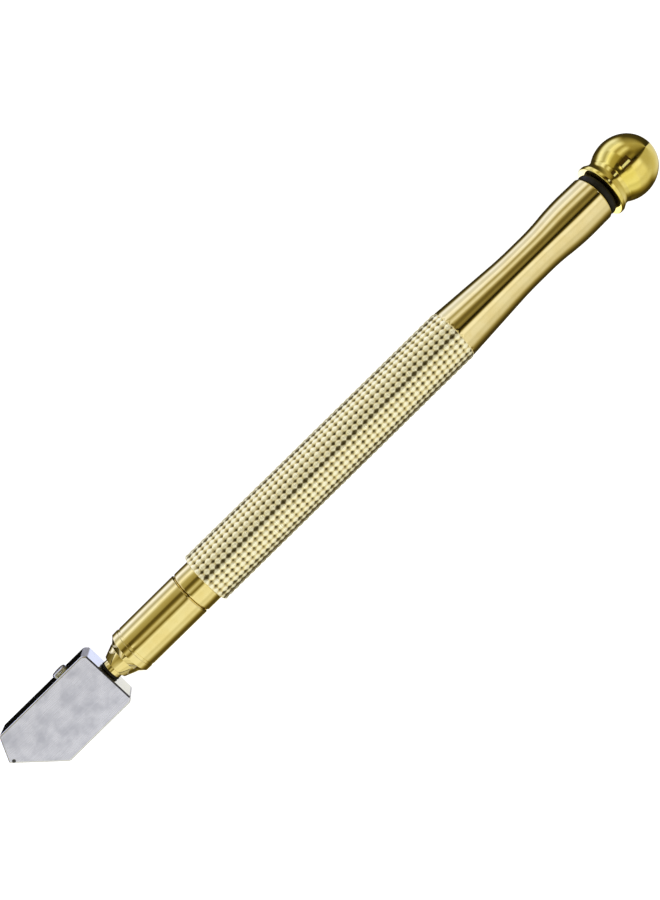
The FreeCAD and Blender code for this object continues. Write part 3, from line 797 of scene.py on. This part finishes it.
def metal(name, base, deep, rough, rough_spread, lines, line_height, blotch=0.35, scratches=0.0):
    """Machined metal: turning rings in the bump, blotches of tone and gloss, a few hair scratches."""
    look = Look(name)
    rings = look.noise(look.turning(lines), 1.0, 3.0, 0.62)
    blotches = look.noise(look.mapped((blotch, blotch, blotch)), 1.0, 3.0, 0.6)
    fine = look.noise(look.mapped((2.2, 2.2, 2.2)), 1.0, 4.0, 0.65)
    tone = look.ramp(blotches, 0.35, 0.7, 0.0, 1.0)
    colour = look.mix(tone, base, deep)
    gloss = look.math(
        "ADD",
        look.ramp(blotches, 0.3, 0.72, rough, rough + rough_spread),
        look.ramp(fine, 0.4, 0.75, 0.0, rough_spread * 0.5),
    )
    gloss = look.math("ADD", gloss, look.ramp(rings, 0.35, 0.7, 0.0, rough_spread * 0.6))
    normal = look.bump(rings, line_height)
    if scratches:
        hair = look.noise(look.mapped((0.9, 0.5, 6.0)), 1.3, 2.0, 0.5, 1.2)
        hair = look.ramp(hair, 0.497, 0.503, 0.0, 1.0, smooth=False)
        hair = look.math("MULTIPLY", hair, look.math("SUBTRACT", 1.0, hair))
        gloss = look.math("ADD", gloss, look.math("MULTIPLY", hair, scratches))
    look.set(Metallic=1.0, Base_Color=colour, Roughness=gloss, Normal=normal)
    return look


BRASS = (0.90, 0.765, 0.375)
BRASS_DEEP = (0.87, 0.715, 0.315)

polished_brass = metal("brass_polished", BRASS, BRASS_DEEP, 0.03, 0.025, 7.0, 0.0005, scratches=0.08)
cap_brass = metal(
    "brass_cap", (0.88, 0.735, 0.215), (0.845, 0.68, 0.16), 0.04, 0.04, 5.0, 0.0008, scratches=0.10
)


def knurled_brass():
    look = Look("brass_knurled")
    rings = look.noise(look.turning(7.0), 1.0, 3.0, 0.62)
    blotches = look.noise(look.mapped((0.35, 0.35, 0.35)), 1.0, 3.0, 0.6)
    fine = look.noise(look.mapped((3.0, 3.0, 3.0)), 1.0, 4.0, 0.65)
    shade_and_dirt = look.attribute("shade_and_dirt")
    crest = look.attribute("crest")
    colour = look.mix(look.ramp(blotches, 0.35, 0.7, 0.0, 1.0), BRASS, BRASS_DEEP)
    # the crests are drawn paler, a painted highlight with some wear, and the bottoms of the grooves and pits
    # darker, painted shade with some dirt
    colour = look.mix(look.ramp(crest, 0.2, 0.75, 0.0, 0.9), colour, (1.0, 0.955, 0.67))
    groove_shade_and_dirt = look.math(
        "MULTIPLY", look.ramp(shade_and_dirt, 0.12, 0.85, 0.0, 0.98), look.ramp(fine, 0.25, 0.6, 0.8, 1.0), clamp=True
    )
    colour = look.mix(groove_shade_and_dirt, colour, (0.07, 0.05, 0.012))
    gloss = look.math(
        "ADD",
        look.ramp(blotches, 0.3, 0.72, 0.24, 0.30),
        look.math("MULTIPLY", groove_shade_and_dirt, 0.3),
    )
    gloss = look.math("ADD", gloss, look.ramp(rings, 0.35, 0.7, 0.0, 0.04))
    # the rolled grip has a frosted skin; the turned lengths before and behind it are polished
    split = look.node("ShaderNodeSeparateXYZ")
    look.link(look.coord.outputs["Object"], split.inputs[0])
    x = split.outputs["X"]
    frosted = look.math(
        "MULTIPLY",
        look.math("GREATER_THAN", x, -36.75 * MM),
        look.math("LESS_THAN", x, 33.38 * MM),
    )
    polish = look.math("ADD", look.ramp(blotches, 0.3, 0.72, 0.035, 0.065), look.ramp(rings, 0.35, 0.7, 0.0, 0.02))
    gloss = look.math(
        "ADD",
        look.math("MULTIPLY", gloss, frosted),
        look.math("MULTIPLY", polish, look.math("SUBTRACT", 1.0, frosted)),
    )
    look.set(
        Metallic=look.math("SUBTRACT", 1.0, look.math("MULTIPLY", frosted, 0.5)),
        Base_Color=colour,
        Roughness=gloss,
        Normal=look.bump(rings, 0.0006),
        Specular_IOR_Level=look.math("SUBTRACT", 0.5, look.math("MULTIPLY", groove_shade_and_dirt, 0.4)),
    )
    return look


barrel_brass = knurled_brass()
plain_brass = metal("brass_plain", (0.86, 0.70, 0.33), (0.80, 0.62, 0.26), 0.20, 0.10, 4.0, 0.004)


def ground_steel(name, base, deep, rough, metallic=1.0):
    """Satin steel: fine straight grinding marks along the tool, faint cloudiness."""
    look = Look(name)
    grind = look.noise(look.mapped((0.25, 13.0, 13.0)), 1.0, 3.0, 0.6)
    coarse = look.noise(look.mapped((0.12, 3.5, 3.5)), 1.0, 2.0, 0.5)
    cloud = look.noise(look.mapped((0.3, 0.3, 0.3)), 1.0, 4.0, 0.6)
    grain = look.noise(look.mapped((9.0, 9.0, 9.0)), 1.0, 2.0, 0.5)
    colour = look.mix(look.ramp(cloud, 0.32, 0.7, 0.0, 1.0), base, deep)
    colour = look.mix(look.ramp(coarse, 0.45, 0.8, 0.0, 0.35), colour, tuple(c * 1.08 for c in base))
    gloss = look.math(
        "ADD", look.ramp(cloud, 0.3, 0.7, rough, rough + 0.07), look.ramp(grind, 0.3, 0.7, -0.03, 0.05)
    )
    height = look.math("ADD", grind, look.math("MULTIPLY", grain, 0.5))
    look.set(Metallic=metallic, Base_Color=colour, Roughness=gloss, Normal=look.bump(height, 0.0035))
    return look


satin_steel = ground_steel("steel_satin", (0.675, 0.68, 0.785), (0.50, 0.507, 0.60), 0.26, 0.5)
# lit and shaded copies of the head's steel: a brighter edge copy (painted highlight), paler side and back copies
# (painted light), a near-black rear-edge copy (painted shade)
edge_steel_highlight = ground_steel("steel_edge_painted_highlight", (0.80, 0.80, 0.86), (0.72, 0.72, 0.78), 0.14)
side_steel_lit = ground_steel("steel_side_painted_light", (0.78, 0.78, 0.56), (0.70, 0.70, 0.50), 0.05)
back_steel_lit = ground_steel("steel_back_painted_light", (0.80, 0.79, 0.66), (0.72, 0.71, 0.60), 0.05)
rear_steel_shade = ground_steel("steel_rear_edge_painted_shade", (0.085, 0.085, 0.095), (0.06, 0.06, 0.07), 0.22)


def screw_metal():
    """Bright plated screw: turning rings about its own Y axis, slightly dulled."""
    look = Look("steel_screw")
    ring = look.noise(look.mapped((0.4, 9.0, 0.4)), 1.0, 3.0, 0.6)
    cloud = look.noise(look.mapped((1.5, 1.5, 1.5)), 1.0, 3.0, 0.6)
    colour = look.mix(look.ramp(cloud, 0.3, 0.7, 0.0, 1.0), (0.76, 0.765, 0.80), (0.62, 0.62, 0.65))
    look.set(
        Metallic=1.0,
        Base_Color=colour,
        Roughness=look.ramp(cloud, 0.3, 0.7, 0.16, 0.30),
        Normal=look.bump(ring, 0.002),
    )
    return look


screw_steel = screw_metal()


def flat_metal(name, base, deep, rough, scale, height):
    look = Look(name)
    cloud = look.noise(look.mapped((scale, scale, scale)), 1.0, 4.0, 0.6)
    grain = look.noise(look.mapped((scale * 9, scale * 9, scale * 9)), 1.0, 2.0, 0.5)
    colour = look.mix(look.ramp(cloud, 0.3, 0.7, 0.0, 1.0), base, deep)
    look.set(
        Metallic=1.0,
        Base_Color=colour,
        Roughness=look.ramp(grain, 0.3, 0.7, rough, rough + 0.1),
        Normal=look.bump(grain, height),
    )
    return look


dark_steel = flat_metal("steel_dark", (0.10, 0.10, 0.105), (0.06, 0.06, 0.065), 0.28, 2.0, 0.002)
hard_metal = flat_metal("carbide", (0.40, 0.40, 0.42), (0.32, 0.32, 0.34), 0.22, 3.0, 0.0015)
bearing_steel = flat_metal("steel_bearing", (0.66, 0.66, 0.67), (0.58, 0.58, 0.60), 0.06, 1.0, 0.0004)
spring_steel = flat_metal("steel_spring", (0.50, 0.49, 0.47), (0.38, 0.37, 0.36), 0.22, 2.5, 0.002)


def rubber():
    look = Look("rubber_black")
    cloud = look.noise(look.mapped((0.8, 0.8, 0.8)), 1.0, 4.0, 0.6)
    grain = look.noise(look.mapped((14.0, 14.0, 14.0)), 1.0, 3.0, 0.55)
    dust = look.noise(look.mapped((4.0, 4.0, 4.0)), 1.0, 5.0, 0.7)
    colour = look.mix(look.ramp(cloud, 0.3, 0.7, 0.0, 1.0), (0.009, 0.0076, 0.0045), (0.015, 0.013, 0.008))
    colour = look.mix(look.ramp(dust, 0.60, 0.75, 0.0, 0.22), colour, (0.07, 0.066, 0.06))
    look.set(
        Base_Color=colour,
        Roughness=look.ramp(grain, 0.3, 0.7, 0.30, 0.45),
        Normal=look.bump(grain, 0.004),
        Specular_IOR_Level=0.14,
    )
    return look


def felt():
    look = Look("wick_felt")
    fibre = look.noise(look.mapped((2.0, 18.0, 18.0)), 1.0, 4.0, 0.65, 0.6)
    cloud = look.noise(look.mapped((1.5, 1.5, 1.5)), 1.0, 4.0, 0.6)
    colour = look.mix(look.ramp(fibre, 0.3, 0.7, 0.0, 1.0), (0.62, 0.56, 0.40), (0.80, 0.76, 0.62))
    colour = look.mix(look.ramp(cloud, 0.4, 0.75, 0.0, 0.6), colour, (0.45, 0.37, 0.18))
    look.set(Base_Color=colour, Roughness=0.95, Normal=look.bump(fibre, 0.03), Sheen_Weight=0.3)
    return look


black_rubber = rubber()
wick_felt = felt()

LOOKS = {
    "polished_brass": polished_brass,
    "plain_brass": plain_brass,
    "satin_steel": satin_steel,
    "screw_steel": screw_steel,
    "dark_steel": dark_steel,
    "hard_metal": hard_metal,
    "bearing_steel": bearing_steel,
    "spring_steel": spring_steel,
    "black_rubber": black_rubber,
    "wick_felt": wick_felt,
}


def dress(obj, look):
    obj.data.materials.clear()
    obj.data.materials.append(look.material)


dress(barrel, barrel_brass)
dress(nose, polished_brass)
dress(cap, cap_brass)
dress(stem, polished_brass)
dress(neck_ring, black_rubber)
dress(stem_seal, black_rubber)
dress(cap_seal, black_rubber)
dress(head, satin_steel)
dress(screw, screw_steel)
dress(wheel, hard_metal)

# painted light on the head: the bevelled edges get a brighter steel copy as a painted highlight, the narrow side
# and the rear face paler, warmer copies, and the rear edges a near-black copy as painted shade
head.data.materials.append(edge_steel_highlight.material)
head.data.materials.append(side_steel_lit.material)
head.data.materials.append(rear_steel_shade.material)
head.data.materials.append(back_steel_lit.material)
for polygon in head.data.polygons:
    n = polygon.normal
    flat = max(abs(n.x), abs(n.y), abs(n.z)) > 0.995
    if not flat and n.x > 0.12 and abs(n.z) > 0.12 and abs(n.y) < 0.3 and polygon.center.x > -64 * MM:
        # painted shade: the rear edges get the near-black steel copy
        polygon.material_index = 3  # the rear edges are darker
    elif not flat and abs(n.z) > 0.12 and polygon.area < 8e-6:
        polygon.material_index = 1
    elif flat and n.y > 0.5:
        polygon.material_index = 2
    elif flat and n.x > 0.5:
        polygon.material_index = 4

NODE_LOOKS = {
    "seam_gasket": black_rubber,
    "valve_seat": plain_brass,
    "seat_seal": black_rubber,
    "valve_ball": bearing_steel,
    "valve_spring": spring_steel,
    "spring_retainer": plain_brass,
    "wheel_axle": dark_steel,
    "oil_wick": wick_felt,
}
for name, look in NODE_LOOKS.items():
    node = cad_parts[name]
    for slot in node.material_slots:
        slot.material = look.material
    if not node.material_slots:
        node.data.materials.append(look.material)

# ---------------------------------------------------------------- camera
CAM_YAW, CAM_ROLL = math.radians(1.5), math.radians(10.0)
toward = Vector(
    (-math.sin(CAM_YAW), math.sin(CAM_ROLL) * math.cos(CAM_YAW), math.cos(CAM_ROLL) * math.cos(CAM_YAW))
).normalized()
along = (Vector((1, 0, 0)) - toward * toward.x).normalized()
across = toward.cross(along)  # up-left of the tool in the picture
TILT = math.radians(44.4)
right = along * math.cos(TILT) - across * math.sin(TILT)
up = along * math.sin(TILT) + across * math.cos(TILT)
target = Vector((-0.85 * MM, 0, AXIS_Z * MM)) + across * 0.85 * MM
camera_data = bpy.data.cameras.new("camera")
camera = bpy.data.objects.new("camera", camera_data)
bpy.context.scene.collection.objects.link(camera)
camera.matrix_world = Matrix.Translation(target + toward * 0.212) @ Matrix(
    (
        (right.x, up.x, toward.x, 0),
        (right.y, up.y, toward.y, 0),
        (right.z, up.z, toward.z, 0),
        (0, 0, 0, 1),
    )
)
camera_data.sensor_fit = "AUTO"
camera_data.sensor_width = 36.0
camera_data.lens = 42.0
camera_data.clip_start = 0.005
camera_data.clip_end = 20.0
bpy.context.scene.camera = camera

# ---------------------------------------------------------------- floor
floor_mesh = bpy.data.meshes.new("floor")
floor_mesh.from_pydata(
    [(-3, -3, floor_z), (3, -3, floor_z), (3, 3, floor_z), (-3, 3, floor_z)], [], [(0, 1, 2, 3)]
)
floor = bpy.data.objects.new("floor", floor_mesh)
bpy.context.scene.collection.objects.link(floor)
floor_look = Look("floor_pale")
floor_look.set(
    Base_Color=(0.58, 0.58, 0.58),
    Roughness=0.9,
    Emission_Color=(1.0, 1.0, 1.0),
    Emission_Strength=0.72,
    Specular_IOR_Level=0.0,
)
floor_mesh.materials.append(floor_look.material)
floor.visible_glossy = False


# a narrow black card, seen only in reflections, lies on the floor by the head's upper narrow side in place of the
# shade there and darkens the lower half of that side, a painted shade
card_mesh = bpy.data.meshes.new("black_card")
card_mesh.from_pydata(
    [(x * MM, y * MM, floor_z + 0.05 * MM) for x, y in ((-91, 6.8), (-63.2, 6.8), (-63.2, 9.4), (-91, 9.4))],
    [],
    [(0, 1, 2, 3)],
)
card = bpy.data.objects.new("black_card", card_mesh)
bpy.context.scene.collection.objects.link(card)
card_look = Look("card_black")
card_look.set(Base_Color=(0.004, 0.004, 0.004), Roughness=1.0, Specular_IOR_Level=0.0)
card_mesh.materials.append(card_look.material)
for ray in ("visible_camera", "visible_diffuse", "visible_shadow", "visible_transmission"):
    setattr(card, ray, False)

# a small dark frame with a lit slit stands close over the cap, mirrored mainly in the ball
def small_card(name, height, box, colour):
    """Card square to the camera's direction, height mm over the tool's axis; box in mm along and across."""
    (x0, x1), (c0, c1) = box
    centre = Vector((0, 0, AXIS_Z * MM)) + toward * height * MM
    corners = [centre + along * (x * MM - centre.dot(along)) + across * c * MM for x, c in ((x0, c0), (x1, c0), (x1, c1), (x0, c1))]
    mesh = bpy.data.meshes.new(name)
    mesh.from_pydata([tuple(v) for v in corners], [], [(0, 1, 2, 3)])
    made = bpy.data.objects.new(name, mesh)
    bpy.context.scene.collection.objects.link(made)
    look = Look(name)
    look.set(
        Base_Color=(0.0, 0.0, 0.0),
        Roughness=1.0,
        Specular_IOR_Level=0.0,
        Emission_Color=colour,
        Emission_Strength=1.0,
    )
    mesh.materials.append(look.material)
    for ray in ("visible_camera", "visible_diffuse", "visible_shadow", "visible_transmission"):
        setattr(made, ray, False)


small_card("frame_dark", 9.0, ((77.3, 83.1), (-0.9, 4.0)), (0.05, 0.030, 0.010))
small_card("frame_slit", 8.92, ((77.6, 82.3), (0.25, 1.45)), (0.85, 0.92, 1.20))

# ---------------------------------------------------------------- studio light
# Soft panels and dark gaps round the tool, given as brightness by the angle (degrees) round the
# tool's axis from the camera's side: positive towards the screw's side. HEAD_SIDE is the part of
# the studio before the head's half, where a dark stand frames a lit strip; ENDS is what stands
# beyond the ball.
TAIL_SIDE = [
    (-180, 0.98), (-175, 0.88), (-171, 0.05), (-130, 0.05), (-122, 0.12), (-112, 0.22), (-104, 0.38), (-96, 0.64), (-88, 0.78),
    (-72, 0.76), (-62, 0.90), (-44, 0.93), (-33, 0.84), (-26, 1.06), (-19, 1.10), (-14, 0.86),
    (-9, 0.10), (-4, 0.015), (2, 0.012), (6, 0.16), (12, 0.26), (19, 0.16), (25, 0.13), (31, 0.20),
    (36, 0.42), (44, 0.90), (50, 0.80), (58, 0.44), (63, 0.46), (71, 1.02), (80, 1.18),
    (87, 0.88), (96, 0.82), (108, 1.14), (115, 1.08), (121, 0.70), (127, 0.20), (134, 0.05), (171, 0.04),
    (175, 0.88), (179.5, 0.98),
]
HEAD_SIDE = [
    (-180, 1.9), (-170, 1.5), (-163, 0.40), (-150, 0.10), (-126, 0.07), (-119, 0.12), (-110, 0.24),
    (-102, 0.50), (-94, 0.84), (-86, 0.86), (-76, 0.78), (-64, 1.0), (-48, 0.98), (-32, 0.95),
    (-23, 1.04), (-17, 0.70), (-11, 0.20), (-6, 0.20), (0, 0.48), (7, 0.68), (12, 0.50), (18, 0.18),
    (24, 0.09), (31, 0.11), (37, 0.36), (46, 0.42), (56, 0.48), (64, 0.84), (71, 1.22), (79, 0.92),
    (87, 0.52), (95, 0.68), (104, 1.14), (111, 1.30), (117, 1.06), (124, 0.50), (130, 0.16),
    (137, 0.09), (150, 0.06), (157, 0.75), (168, 1.4), (179.5, 1.9),
]
# the lit strip has a dark frame, closed at its far end
OPEN = [(-15, 0.86), (-11, 0.10), (-6, 0.03), (0, 0.03), (3, 0.35), (6, 1.25), (13, 1.25),
    (16, 0.35), (19, 0.03), (32, 0.04)]
SHUT = [(-15, 0.86), (-11, 0.10), (-6, 0.04), (19, 0.05), (32, 0.06)]
PLAIN = [(-14, 0.80), (0, 0.62), (32, 0.50)]
FRAME_OPEN, FRAME_SHUT, NO_FRAME = (
    sorted([stop for stop in HEAD_SIDE if not -20 < stop[0] < 35] + middle) for middle in (OPEN, SHUT, PLAIN)
)
ENDS = [
    (-180, 0.80), (-150, 0.82), (-110, 0.70), (-60, 0.56), (-14, 0.54), (-8, 0.08), (0, 0.03),
    (10, 0.12), (30, 0.32), (60, 0.46), (90, 0.28), (120, 0.07), (179.5, 0.03),
]
TOP = 2.0

world = bpy.data.worlds.new("studio")
bpy.context.scene.world = world
world.use_nodes = True
tree = world.node_tree
tree.nodes.clear()


def wn(kind, **settings):
    made = tree.nodes.new(kind)
    for key, value in settings.items():
        setattr(made, key, value)
    return made


def wmath(operation, a, b=None, clamp=False):
    made = wn("ShaderNodeMath", operation=operation, use_clamp=clamp)
    for i, value in enumerate((a, b)):
        if value is None:
            continue
        if isinstance(value, (int, float)):
            made.inputs[i].default_value = value
        else:
            tree.links.new(value, made.inputs[i])
    return made.outputs[0]


def wdot(vector, direction):
    made = wn("ShaderNodeVectorMath", operation="DOT_PRODUCT")
    tree.links.new(vector, made.inputs[0])
    made.inputs[1].default_value = direction
    return made.outputs["Value"]


def wsmooth(value, low, high):
    made = wn("ShaderNodeMapRange", interpolation_type="SMOOTHSTEP")
    tree.links.new(value, made.inputs["Value"])
    made.inputs["From Min"].default_value = low
    made.inputs["From Max"].default_value = high
    made.inputs["To Min"].default_value = 0.0
    made.inputs["To Max"].default_value = 1.0
    return made.outputs["Result"]


def wramp(value, stops):
    made = wn("ShaderNodeValToRGB")
    ramp = made.color_ramp
    ramp.interpolation = "LINEAR"
    while len(ramp.elements) > 1:
        ramp.elements.remove(ramp.elements[-1])
    first = True
    for position, colour in stops:
        if first:
            element = ramp.elements[0]
            element.position = position
            first = False
        else:
            element = ramp.elements.new(position)
        element.color = (*colour, 1.0)
    tree.links.new(value, made.inputs["Fac"])
    return made.outputs["Color"]


def around(table):
    """Brightness of a table at the ray's angle; each half turn has a ramp of its own."""
    angles, values = [p[0] for p in table], [p[1] / TOP for p in table]
    middle = float(np.interp(0.0, angles, values))
    below = [(a / 180.0 + 1.0, v) for a, v in zip(angles, values) if a < 0] + [(1.0, middle)]
    above = [(0.0, middle)] + [(a / 180.0, v) for a, v in zip(angles, values) if a > 0]
    lower = wramp(wmath("MULTIPLY", turn, 2.0, clamp=True), [(x, (v,) * 3) for x, v in below])
    upper = wramp(
        wmath("SUBTRACT", wmath("MULTIPLY", turn, 2.0), 1.0, clamp=True), [(x, (v,) * 3) for x, v in above]
    )
    return wmix(wmath("GREATER_THAN", turn, 0.5), lower, upper)


direction = wn("ShaderNodeTexCoord").outputs["Generated"]
side = wdot(direction, across)
front = wdot(direction, toward)
axial = wdot(direction, along)
angle = wmath("ARCTAN2", side, front)
turn = wmath("DIVIDE", wmath("ADD", angle, math.pi), 2 * math.pi)
slant = wmath("MULTIPLY", wmath("ARCSINE", axial), 180.0 / math.pi)


def wmix(factor, a, b, blend="MIX"):
    made = wn("ShaderNodeMix", data_type="RGBA", blend_type=blend)
    if isinstance(factor, (int, float)):
        made.inputs[0].default_value = factor
    else:
        tree.links.new(factor, made.inputs[0])
    colours = [s for s in made.inputs if s.type == "RGBA"]
    for socket, value in zip(colours, (a, b)):
        if isinstance(value, tuple):
            socket.default_value = (*value, 1.0)
        else:
            tree.links.new(value, socket)
    return [s for s in made.outputs if s.type == "RGBA"][0]


gap = wmath(
    "MULTIPLY", wmath("SUBTRACT", 1.0, wsmooth(slant, -3.0, 4.0)), wsmooth(slant, -82.0, -74.0)
)
framed = wmix(wsmooth(slant, -35.0, -30.0), around(FRAME_SHUT), around(FRAME_OPEN))
framed = wmix(wsmooth(slant, -64.0, -57.0), around(NO_FRAME), framed)
stand = wmix(wsmooth(slant, -26.0, -20.0), framed, around(HEAD_SIDE))
grey = wmix(gap, around(TAIL_SIDE), stand)
grey = wmix(wsmooth(slant, 26.0, 46.0), grey, around(ENDS))
# brightness to colour: the dark parts of the room are warm, the panels neutral
tinted = wramp(
    grey,
    [
        (value / TOP, tuple(channel / TOP for channel in colour))
        for value, colour in (
            (0.0, (0.0, 0.0, 0.0)),
            (0.10, (0.114, 0.088, 0.023)),
            (0.23, (0.253, 0.208, 0.065)),
            (0.47, (0.490, 0.442, 0.247)),
            (0.78, (0.780, 0.767, 0.650)),
            (1.04, (1.027, 1.034, 0.990)),
            (2.0, (2.0, 2.0, 2.0)),
        )
    ],
)
# the panel on the screw's side is cooler than the one opposite, and the tail's side than the head's
warm = wn("ShaderNodeMix", data_type="VECTOR")
tree.links.new(wsmooth(slant, -8.0, 8.0), warm.inputs[0])
tint = wn("ShaderNodeMix", data_type="VECTOR")
tree.links.new(wsmooth(turn, 0.62, 0.82), tint.inputs[0])


def vectors(sockets):
    return [socket for socket in sockets if socket.type == "VECTOR"]


vectors(warm.inputs)[-2].default_value = (1.0, 1.0, 0.90)
vectors(warm.inputs)[-1].default_value = (1.0, 1.0, 1.12)
tree.links.new(vectors(warm.outputs)[0], vectors(tint.inputs)[-2])
vectors(tint.inputs)[-1].default_value = (0.93, 1.0, 1.55)
shade = wn("ShaderNodeVectorMath", operation="MULTIPLY")
tree.links.new(tinted, shade.inputs[0])
tree.links.new(vectors(tint.outputs)[0], shade.inputs[1])
path = wn("ShaderNodeLightPath")
glossy = wn("ShaderNodeBackground")
tree.links.new(shade.outputs[0], glossy.inputs["Color"])
glossy.inputs["Strength"].default_value = TOP
soft = wn("ShaderNodeBackground")
soft.inputs["Color"].default_value = (0.985, 0.99, 1.0, 1.0)
soft.inputs["Strength"].default_value = 1.05
choose = wn("ShaderNodeMixShader")
tree.links.new(path.outputs["Is Glossy Ray"], choose.inputs[0])
tree.links.new(soft.outputs[0], choose.inputs[1])
tree.links.new(glossy.outputs[0], choose.inputs[2])
out = wn("ShaderNodeOutputWorld")
tree.links.new(choose.outputs[0], out.inputs["Surface"])

bpy.context.scene.view_settings.view_transform = "Standard"
bpy.context.scene.view_settings.look = "None"
bpy.context.scene.view_settings.exposure = 0.0
bpy.context.scene.view_settings.gamma = 1.0

bpy.context.view_layer.update()
